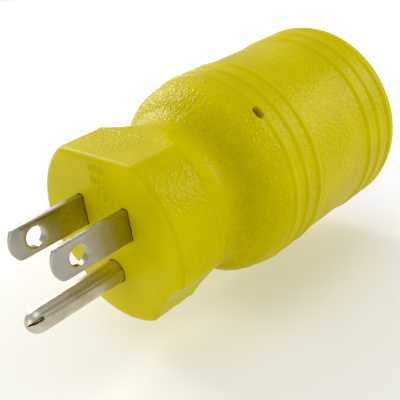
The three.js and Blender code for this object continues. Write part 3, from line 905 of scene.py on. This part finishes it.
def blade_tail(centre):
    """The narrow strip between a blade and its crimp barrel."""
    shell = Shell()
    loop = oval_loop(centre, BLADE_THICKNESS / 2 - 0.02, TAIL_WIDTH / 2, 0.3, 4, 1)
    ends = [shell.add_flat(loop, y) for y in (BLADE_END_Y - 1.5, CRIMP_START_Y + 0.4)]
    shell.bridge(ends)
    shell.faces += ends
    return shell


def build_blade(node):
    centre = node_centre(node)
    around = np.linspace(0, 2 * math.pi, 32, endpoint=False)
    crimp = turned([(0, CRIMP_START_Y)] + crimp_barrel(), around, centre, crimp_dents)
    parts = {"plate": blade_plate(centre), "tail": blade_tail(centre), "crimp": crimp}
    pieces = [shell.finished(node + "_" + part) for part, shell in parts.items()]
    return united(node + "_prong", pieces, 40)


def pin_profile(tip):
    """Profile of the ground pin: a rounded nose, a straight shank and a crimp barrel."""
    profile = [(0, tip)]
    nose = PIN_RADIUS * PIN_NOSE
    nose_steps = 16
    for step in range(1, nose_steps + 1):
        turn = math.radians(90 * step / nose_steps)
        profile.append((PIN_RADIUS * math.sin(turn) ** 0.94, tip + nose * (1 - math.cos(turn))))
    profile += [(PIN_RADIUS, y) for y in np.arange(tip + nose + 0.15, tip + 4.0, 0.15)]
    profile += [(PIN_RADIUS, y) for y in np.arange(tip + 4.3, BLADE_END_Y - 0.3, 0.6)]
    profile += [(PIN_RADIUS, BLADE_END_Y - 0.2), (PIN_RADIUS - 0.2, BLADE_END_Y)]
    profile += [(CRIMP_BORE, BLADE_END_Y), (CRIMP_BORE, CRIMP_START_Y - 0.2)]
    return profile + crimp_barrel()


def pin_angles():
    """Angles round the pin, closer together at its rolled seam."""
    half = [1.2, 2.4, 3.6, 4.6, 5.6, 7, 9, 11, 14]
    close = [0, *half, *[-turn for turn in half]]
    angles = [a for a in np.arange(0, 360, 5.0) if abs(turn_between(a, PIN_SEAM_ANGLE)) > 15]
    angles += [(PIN_SEAM_ANGLE + turn) % 360 for turn in close]
    return np.radians(np.sort(angles))


def build_pin():
    tip = box_mm("ground_pin")[0][1]

    def rolled(radius, y, angle):
        """The rolled seam, the slit that it opens into at the nose and a dimple beside it."""
        if y > BLADE_END_Y - 0.5:
            return crimp_dents(radius, y, angle)
        turn = turn_between(math.degrees(angle), PIN_SEAM_ANGLE)
        across = radius * math.radians(turn)
        depth = PIN_SEAM_DEPTH * math.exp(-(across / PIN_SEAM_WIDTH) ** 2)
        into = (tip + PIN_SLIT_LENGTH - y) / PIN_SLIT_LENGTH
        if into > 0:
            width = 0.06 + 0.26 * min(1.0, (1 - into) * 1.3)
            wall = 1 / (1 + math.exp(min((abs(across) - width) / 0.03, 60)))
            depth = max(depth, min(PIN_SLIT_DEPTH, radius * 0.8) * wall * min(into * 14, 1))
        below = radius * math.radians(turn + 22)
        dimple = math.exp(-(below / 0.5) ** 2 - ((y - tip - 3) / 0.8) ** 2)
        return radius - depth - PIN_DIMPLE_DEPTH * dimple

    pin = turned(pin_profile(tip), pin_angles(), node_centre("ground_pin"), rolled)
    return pin.finished("ground_pin_prong", 40)


# --------------------------------------------------------------- receptacle

def arc_loop(angle, half_angle, half_width, grow=0.0, hook=False):
    """A slot that follows the contact circle, with rounded ends and perhaps an inward leg."""
    inner = CONTACT_RADIUS - half_width - grow
    outer = CONTACT_RADIUS + half_width + grow
    extra = math.degrees(grow / CONTACT_RADIUS)
    start, end = angle - half_angle - extra, angle + half_angle + extra
    corner = min(0.5, half_width * 0.5)
    ends = math.degrees(corner / CONTACT_RADIUS)
    count = 28

    def run(radius, first, last):
        return [(radius, turn) for turn in np.linspace(first, last, count + 1)]

    points = run(outer, start + ends, end - ends)
    points += [(outer - corner * 0.3, end - ends * 0.3), (outer - corner, end)]
    if hook:
        foot = inner - HOOK_REACH - grow
        leg_start = end - 2 * HOOK_HALF_ANGLE - 2 * extra
        points += [
            (foot + corner, end), (foot + corner * 0.3, end - ends * 0.6), (foot, end - ends * 2),
            (foot, leg_start + ends * 2), (foot + corner * 0.3, leg_start + ends * 0.6),
            (foot + corner, leg_start), (inner - 0.4, leg_start), (inner, leg_start - ends),
        ]
        stop = leg_start - ends * 2
    else:
        points += [(inner + corner, end), (inner + corner * 0.3, end - ends * 0.3)]
        stop = end - ends
    points += run(inner, stop, start + ends)
    points += [(inner + corner * 0.3, start + ends * 0.3), (inner + corner, start),
               (outer - corner, start), (outer - corner * 0.3, start + ends * 0.3)]
    return around_axis(points)


def around_axis(points):
    """Places as (x, z) from (radius, degrees)."""
    return np.array([(r * math.cos(math.radians(a)), r * math.sin(math.radians(a)))
                     for r, a in points])


def chamber_loop(name):
    """Outline of a contact's chamber, with a side pocket behind the leg of the ground slot."""
    angle = CONTACT_ANGLES[name]
    plain = arc_loop(angle, CHAMBER_HALF_ANGLE, CHAMBER_HALF_WIDTH)
    if name != "ground":
        return plain
    inner = CONTACT_RADIUS - CHAMBER_HALF_WIDTH
    deep = CONTACT_RADIUS - SLOT_HALF_WIDTH - HOOK_REACH - HOOK_CLEARANCE
    centre = angle + SLOT_HALF_ANGLE[name] - HOOK_HALF_ANGLE
    reach = HOOK_POCKET_HALF_ANGLE
    pocket = around_axis([(inner, centre + reach), (deep, centre + reach), (deep, centre),
                          (deep, centre - reach), (inner, centre - reach)])
    turns = turn_between(np.degrees(np.arctan2(plain[:, 1], plain[:, 0])), centre)
    on_inner = np.abs(np.hypot(plain[:, 0], plain[:, 1]) - inner) < 0.05
    replaced = np.where(on_inner & (np.abs(turns) < reach))[0]
    return np.concatenate([plain[:replaced[0]], pocket, plain[replaced[-1] + 1:]])


def cut_slot(shell, name):
    """A slot with a rounded mouth that opens into its chamber; gives the two open ends."""
    ceiling_y = INSERT_END_Y - SLOT_WALL
    rings = []
    for turn in np.radians((90, 60, 30, 0)):
        slot = arc_loop(CONTACT_ANGLES[name], SLOT_HALF_ANGLE[name], SLOT_HALF_WIDTH,
                        SLOT_EDGE * (1 - math.cos(turn)), name == "ground")
        y = INSERT_END_Y - SLOT_EDGE * (1 - math.sin(turn))
        rings.append((slot, shell.add_flat(slot, y)))
    throat = shell.add_flat(slot, ceiling_y)
    shell.bridge([*[ids for _, ids in rings], throat])
    chamber = chamber_loop(name)
    top, bottom = (shell.add_flat(chamber, y) for y in (ceiling_y, INSERT_START_Y))
    shell.fill([top, throat], [chamber, slot])
    shell.bridge([top, bottom])
    return rings[0], (chamber, bottom)


def cut_screw_hole(shell, angle):
    """A blind hole in the back of the insert; gives its open end."""
    centre = around_axis([(SCREW_PITCH_RADIUS, angle)])[0]
    loop = circle_loop(centre, SCREW_RADIUS, 24)
    mouth, end = (shell.add_flat(loop, y) for y in (INSERT_START_Y, SCREW_HOLE_END_Y))
    shell.bridge([mouth, end])
    shell.faces.append(end)
    return loop, mouth


def build_receptacle_face():
    """Black insert: a raised land round the slots, a grooved rim, and a rib round its side."""
    rib = INSERT_RADIUS - RIB_HEIGHT
    groove = ((-0.9, 0), (-0.7, 0.3), (-0.5, 1), (0.1, 1), (0.3, 0.3), (0.5, 0))
    rows = [(LAND_RADIUS + out, INSERT_END_Y - LAND_DEPTH * share) for out, share in groove]
    rows += [(INSERT_RADIUS - INSERT_EDGE * (1 - math.sin(turn)),
              INSERT_END_Y - INSERT_EDGE * (1 - math.cos(turn)))
             for turn in np.radians((0, 22, 45, 67, 90))]
    rows += [(INSERT_RADIUS, RIB_END_Y + 0.3), (rib, RIB_END_Y - 0.5), (rib, RIB_START_Y + 0.5),
             (INSERT_RADIUS, RIB_START_Y - 0.3), (INSERT_RADIUS, INSERT_START_Y + 0.3),
             (INSERT_RADIUS - 0.3, INSERT_START_Y)]
    shell = Shell()
    circles = [circle_loop((0, 0), radius, 144) for radius, _ in rows]
    rings = [shell.add_flat(circle, y) for circle, (_, y) in zip(circles, rows)]
    shell.bridge(rings)

    slots = [cut_slot(shell, name) for name in CONTACT_ANGLES]
    front = [(circles[0], rings[0]), *[mouth for mouth, _ in slots]]
    back = [(circles[-1], rings[-1]), *[chamber for _, chamber in slots]]
    back += [cut_screw_hole(shell, angle) for angle in SCREW_ANGLES]
    for side in (front, back):
        shell.fill([ids for _, ids in side], [flat for flat, _ in side])
    return shell.finished("receptacle_face_moulding", 40)


# ---------------------------------------------------------------- materials

ALONG_Y = (1, 0.04, 1)
BRUSHED = (1, 0.5, 0.1)
JACKET_YELLOW = (0.64, 0.545, 0.001)
JACKET_DEEP = (0.58, 0.49, 0.0005)


def new_material(name, colour, roughness, metallic=0.0):
    material = bpy.data.materials.new(name)
    material.use_nodes = True
    shader = material.node_tree.nodes["Principled BSDF"]
    shader.inputs["Base Color"].default_value = (*colour, 1)
    shader.inputs["Roughness"].default_value = roughness
    shader.inputs["Metallic"].default_value = metallic
    return material, shader


def feed(material, socket, value):
    """Link another socket to this one, or set a constant on it."""
    if isinstance(value, (int, float)):
        socket.default_value = value
    elif isinstance(value, tuple):
        socket.default_value = (*value, 1) if socket.type == "RGBA" else value
    else:
        material.node_tree.links.new(value, socket)


def add(material, kind, inputs=None, **settings):
    """A shader node with its settings and what goes into its named inputs."""
    node = material.node_tree.nodes.new(kind)
    for name, value in settings.items():
        setattr(node, name, value)
    for name, value in (inputs or {}).items():
        feed(material, node.inputs[name], value)
    return node


def object_space(material):
    return add(material, "ShaderNodeTexCoord").outputs["Object"]


def object_noise(material, scale, detail=3.0, roughness=0.55, stretch=(1, 1, 1)):
    """Noise in the object's own space; scale is features per metre."""
    mapping = add(material, "ShaderNodeMapping",
                  {"Vector": object_space(material), "Scale": stretch})
    return add(material, "ShaderNodeTexNoise", {
        "Vector": mapping.outputs["Vector"], "Scale": scale, "Detail": detail,
        "Roughness": roughness}).outputs["Fac"]


def ranged(material, value, low, high, start=0.3, end=0.7):
    """Map a value from start..end to low..high."""
    return add(material, "ShaderNodeMapRange", {
        "Value": value, "From Min": start, "From Max": end, "To Min": low, "To Max": high,
    }).outputs["Result"]


def mixed(material, factor, first, second):
    """Blend two colours by a factor."""
    return add(material, "ShaderNodeMix", {"Factor": factor, "A": first, "B": second},
               data_type="RGBA").outputs["Result"]


def maths(material, operation, first, second):
    node = add(material, "ShaderNodeMath", operation=operation)
    feed(material, node.inputs[0], first)
    feed(material, node.inputs[1], second)
    return node.outputs["Value"]


def added(material, base, extra, share=1.0):
    """One value plus a share of another."""
    if share != 1.0:
        extra = maths(material, "MULTIPLY", extra, share)
    return maths(material, "ADD", base, extra)


def bumped(material, shader, height, strength, distance):
    bump = add(material, "ShaderNodeBump",
               {"Distance": distance, "Strength": strength, "Height": height})
    feed(material, shader.inputs["Normal"], bump.outputs["Normal"])


def jacket_material():
    """Yellow moulded PVC: leather grain where the mould is textured, satin elsewhere."""
    material, shader = new_material("moulded_yellow_pvc", JACKET_YELLOW, 0.4)
    grain = add(material, "ShaderNodeAttribute", attribute_name="grain").outputs["Fac"]
    cloud = object_noise(material, 90, 3)
    fine = object_noise(material, 2600, 4, 0.6)
    tone = mixed(material, ranged(material, cloud, 0, 1, 0.35, 0.65), JACKET_DEEP, JACKET_YELLOW)
    feed(material, shader.inputs["Base Color"], tone)
    feed(material, shader.inputs["Roughness"], ranged(material, fine, 0.32, 0.42))
    height = added(material, pebble_height(material, 930), pebble_height(material, 1900), 0.18)
    height = added(material, height, fine, 0.12)
    bumped(material, shader, height, ranged(material, grain, 0.03, 0.85, 0, 1), 0.00013)
    shader.inputs["Specular IOR Level"].default_value = 0.24
    return material


def pebble_height(material, scale):
    """Rounded pebbles with creases between them, warped so that no two are alike."""
    place = object_space(material)
    warp = add(material, "ShaderNodeTexNoise", {"Vector": place, "Scale": scale * 0.9})
    shift = add(material, "ShaderNodeVectorMath", operation="MULTIPLY_ADD")
    for socket, value in zip(shift.inputs, (warp.outputs["Color"], (0.7 / scale,) * 3, place)):
        feed(material, socket, value)
    cells = add(material, "ShaderNodeTexVoronoi",
                {"Vector": shift.outputs["Vector"], "Scale": scale}, feature="DISTANCE_TO_EDGE")
    return add(material, "ShaderNodeMapRange",
               {"Value": cells.outputs["Distance"], "From Max": 0.32},
               interpolation_type="SMOOTHSTEP").outputs["Result"]


def metal_material(name, colour, dull, roughness, stretch=(1, 1, 1), grooved=0.08):
    """Plated or bare metal with fine drawing lines and a little handling haze."""
    material, shader = new_material(name, colour, roughness, 1.0)
    lines = object_noise(material, 900, 4, 0.6, stretch)
    haze = object_noise(material, 220, 4, 0.6)
    tone = mixed(material, ranged(material, haze, 0, 1, 0.35, 0.7), colour, dull)
    feed(material, shader.inputs["Base Color"], tone)
    base = ranged(material, haze, roughness * 0.85, roughness * 1.35, 0.35, 0.7)
    streak = ranged(material, lines, -0.05, 0.06)
    feed(material, shader.inputs["Roughness"], added(material, base, streak))
    bumped(material, shader, lines, grooved, 0.00005)
    return material


def blade_material():
    """Nickel plate on brass strip: satin flats, and a duller band coined at the tip, painted paler as
    a highlight that stands in for the bevel's lighter reflection.
    """
    material = metal_material("nickel_blade", (0.5, 0.465, 0.385), (0.43, 0.395, 0.31), 0.27,
                              BRUSHED, 0.02)
    shader = material.node_tree.nodes["Principled BSDF"]
    axes = add(material, "ShaderNodeSeparateXYZ", {"Vector": object_space(material)})
    crease = (BLADE_LOW_Y + BLADE_TAPER) * MM
    coined_band_and_painted_sheen = ranged(material, axes.outputs["Y"], 1, 0, crease - 0.0001, crease + 0.0001)
    plain = shader.inputs["Base Color"].links[0].from_socket
    # painted highlight: the coined tip band is coloured paler to stand in for the lighter reflection
    # of its tapered bevel; its added roughness below is the real duller coined finish
    feed(material, shader.inputs["Base Color"], mixed(material, coined_band_and_painted_sheen, plain, (0.46, 0.445, 0.39)))
    satin = shader.inputs["Roughness"].links[0].from_socket
    feed(material, shader.inputs["Roughness"], added(material, satin, coined_band_and_painted_sheen, 0.1))
    return material


def plastic_material(name, colour, other, roughness, grain=0.15):
    """Moulded nylon or PVC: slight mottling and a fine satin surface."""
    material, shader = new_material(name, colour, roughness)
    cloud = object_noise(material, 160, 3)
    fine = object_noise(material, 3200, 3, 0.6)
    tone = mixed(material, ranged(material, cloud, 0, 1, 0.35, 0.65), colour, other)
    feed(material, shader.inputs["Base Color"], tone)
    gloss = ranged(material, fine, roughness * 0.85, roughness * 1.2)
    feed(material, shader.inputs["Roughness"], gloss)
    bumped(material, shader, fine, grain, 0.00006)
    return material


PLASTICS = {
    "mould_pvc": ("dark_pvc", (0.035, 0.034, 0.032), (0.05, 0.048, 0.045), 0.6),
    "carrier_nylon": ("natural_nylon", (0.72, 0.68, 0.58), (0.78, 0.75, 0.66), 0.45),
    "insert_nylon": ("black_nylon", (0.012, 0.012, 0.013), (0.02, 0.02, 0.021), 0.38),
    "hot_insulation": ("black_insulation", (0.01, 0.01, 0.01), (0.018, 0.018, 0.018), 0.42),
    "neutral_insulation": ("white_insulation", (0.82, 0.82, 0.78), (0.74, 0.74, 0.7), 0.42),
    "ground_insulation": ("green_insulation", (0.012, 0.19, 0.045), (0.02, 0.15, 0.04), 0.42),
}
METALS = {
    "nickel": ("nickel_plate", (0.64, 0.59, 0.48), (0.5, 0.45, 0.33), 0.3, ALONG_Y, 0.02),
    "contact_brass": ("brass", (0.78, 0.57, 0.22), (0.6, 0.4, 0.14), 0.28),
    "copper": ("copper", (0.78, 0.4, 0.24), (0.6, 0.28, 0.16), 0.3, ALONG_Y),
    "spring_steel": ("spring_steel", (0.5, 0.51, 0.54), (0.38, 0.39, 0.42), 0.3),
    "screw_steel": ("zinc_steel", (0.62, 0.63, 0.66), (0.5, 0.5, 0.5), 0.32),
}
FINISHES = {
    "jacket_pvc": jacket_material(),
    "nickel_blade": blade_material(),
    **{finish: plastic_material(*look) for finish, look in PLASTICS.items()},
    **{finish: metal_material(*look) for finish, look in METALS.items()},
}

NODE_FINISH = {
    "inner_mould": "mould_pvc",
    "blade_carrier": "carrier_nylon",
    "receptacle_back": "insert_nylon",
}
for wire in CONTACT_ANGLES:
    NODE_FINISH[wire + "_wire_core"] = "copper"
    NODE_FINISH[wire + "_wire_insulation"] = wire + "_insulation"
    NODE_FINISH[wire + "_contact"] = "contact_brass"
    NODE_FINISH[wire + "_contact_clip"] = "spring_steel"
for number in (1, 2, 3):
    NODE_FINISH["assembly_screw_%d" % number] = "screw_steel"


def finish_cad_nodes():
    """Materials of the CAD nodes that are shown as they are."""
    for name, finish in NODE_FINISH.items():
        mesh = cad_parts[name].data
        if not mesh.materials:
            mesh.materials.append(None)
        for slot in range(len(mesh.materials)):
            mesh.materials[slot] = FINISHES[finish]


def stand_in(piece, node, slot, finish=None):
    """Show a piece in place of a CAD node, with the material of the slot's finish unless another
    finish is given.
    """
    piece.data.materials.clear()
    piece.data.materials.append(FINISHES[finish or slot])
    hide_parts(node)
    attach(piece, "root")


# ----------------------------------------------------------- studio and view

def direction(azimuth, elevation):
    """Unit vector from the object towards a place round it."""
    around, up = math.radians(azimuth), math.radians(elevation)
    return Vector((math.sin(around) * math.cos(up), -math.cos(around) * math.cos(up),
                   math.sin(up)))


def add_floor():
    """A wide pale floor, a little below the adapter so that its shadow stays soft."""
    reach, low = 3.0, cad_low[2] - FLOOR_DROP * MM
    corners = [(-reach, -reach, low), (reach, -reach, low), (reach, reach, low), (-reach, reach, low)]
    mesh = bpy.data.meshes.new("studio_floor")
    mesh.from_pydata(corners, [], [(0, 1, 2, 3)])
    floor = bpy.data.objects.new("studio_floor", mesh)
    bpy.context.scene.collection.objects.link(floor)
    material, shader = new_material("pale_floor", (0.97, 0.97, 0.97), 0.9)
    shader.inputs["Specular IOR Level"].default_value = 0.1
    mesh.materials.append(material)


def add_light(name, azimuth, elevation, distance, size, power):
    """A square softbox that faces the object from a direction, in degrees and metres."""
    light = bpy.data.lights.new(name, "AREA")
    light.shape = "SQUARE"
    light.size = size
    light.energy = power
    lamp = bpy.data.objects.new(name, light)
    towards = direction(azimuth, elevation)
    lamp.location = Vector((0, BODY_LENGTH * 0.35 * MM, 0)) + towards * distance
    lamp.rotation_euler = towards.to_track_quat("Z", "Y").to_euler()
    bpy.context.scene.collection.objects.link(lamp)


def add_world(strength):
    world = bpy.data.worlds.new("studio")
    world.use_nodes = True
    background = world.node_tree.nodes["Background"]
    background.inputs["Color"].default_value = (1, 1, 1, 1)
    background.inputs["Strength"].default_value = strength
    bpy.context.scene.world = world


def set_film():
    """Plain film with a little more depth in the shadows, so that the yellow stays clean."""
    film = bpy.context.scene.view_settings
    film.view_transform = "Standard"
    film.use_curve_mapping = True
    film.curve_mapping.black_level = (FILM_BLACK,) * 3
    film.curve_mapping.update()


def add_camera():
    """Camera at the photo's angle: it looks along its own -Z, rolled a little."""
    back = direction(VIEW_AZIMUTH, VIEW_ELEVATION)
    around, roll = math.radians(VIEW_AZIMUTH), math.radians(VIEW_ROLL)
    right = Vector((math.cos(around), math.sin(around), 0))
    above = back.cross(right)
    x = right * math.cos(roll) + above * math.sin(roll)
    y = above * math.cos(roll) - right * math.sin(roll)
    data = bpy.data.cameras.new("view")
    data.lens = VIEW_LENS
    data.sensor_width = 36.0
    data.clip_start = 0.005
    camera = bpy.data.objects.new("view", data)
    rows = [(x[i], y[i], back[i], VIEW_PLACE[i] * MM) for i in range(3)]
    camera.matrix_world = Matrix([*rows, (0, 0, 0, 1)])
    bpy.context.scene.collection.objects.link(camera)
    bpy.context.scene.camera = camera


# ------------------------------------------------------------------ assembly

add_camera()
stand_in(build_jacket(), "outer_jacket", "jacket_pvc")
for blade in ("hot_blade", "neutral_blade"):
    stand_in(build_blade(blade), blade, "nickel", "nickel_blade")
stand_in(build_pin(), "ground_pin", "nickel")
stand_in(build_receptacle_face(), "receptacle_face", "insert_nylon")
finish_cad_nodes()

add_floor()
add_world(WORLD_STRENGTH)
for name, setting in LIGHTS.items():
    add_light(name, *setting)
set_film()
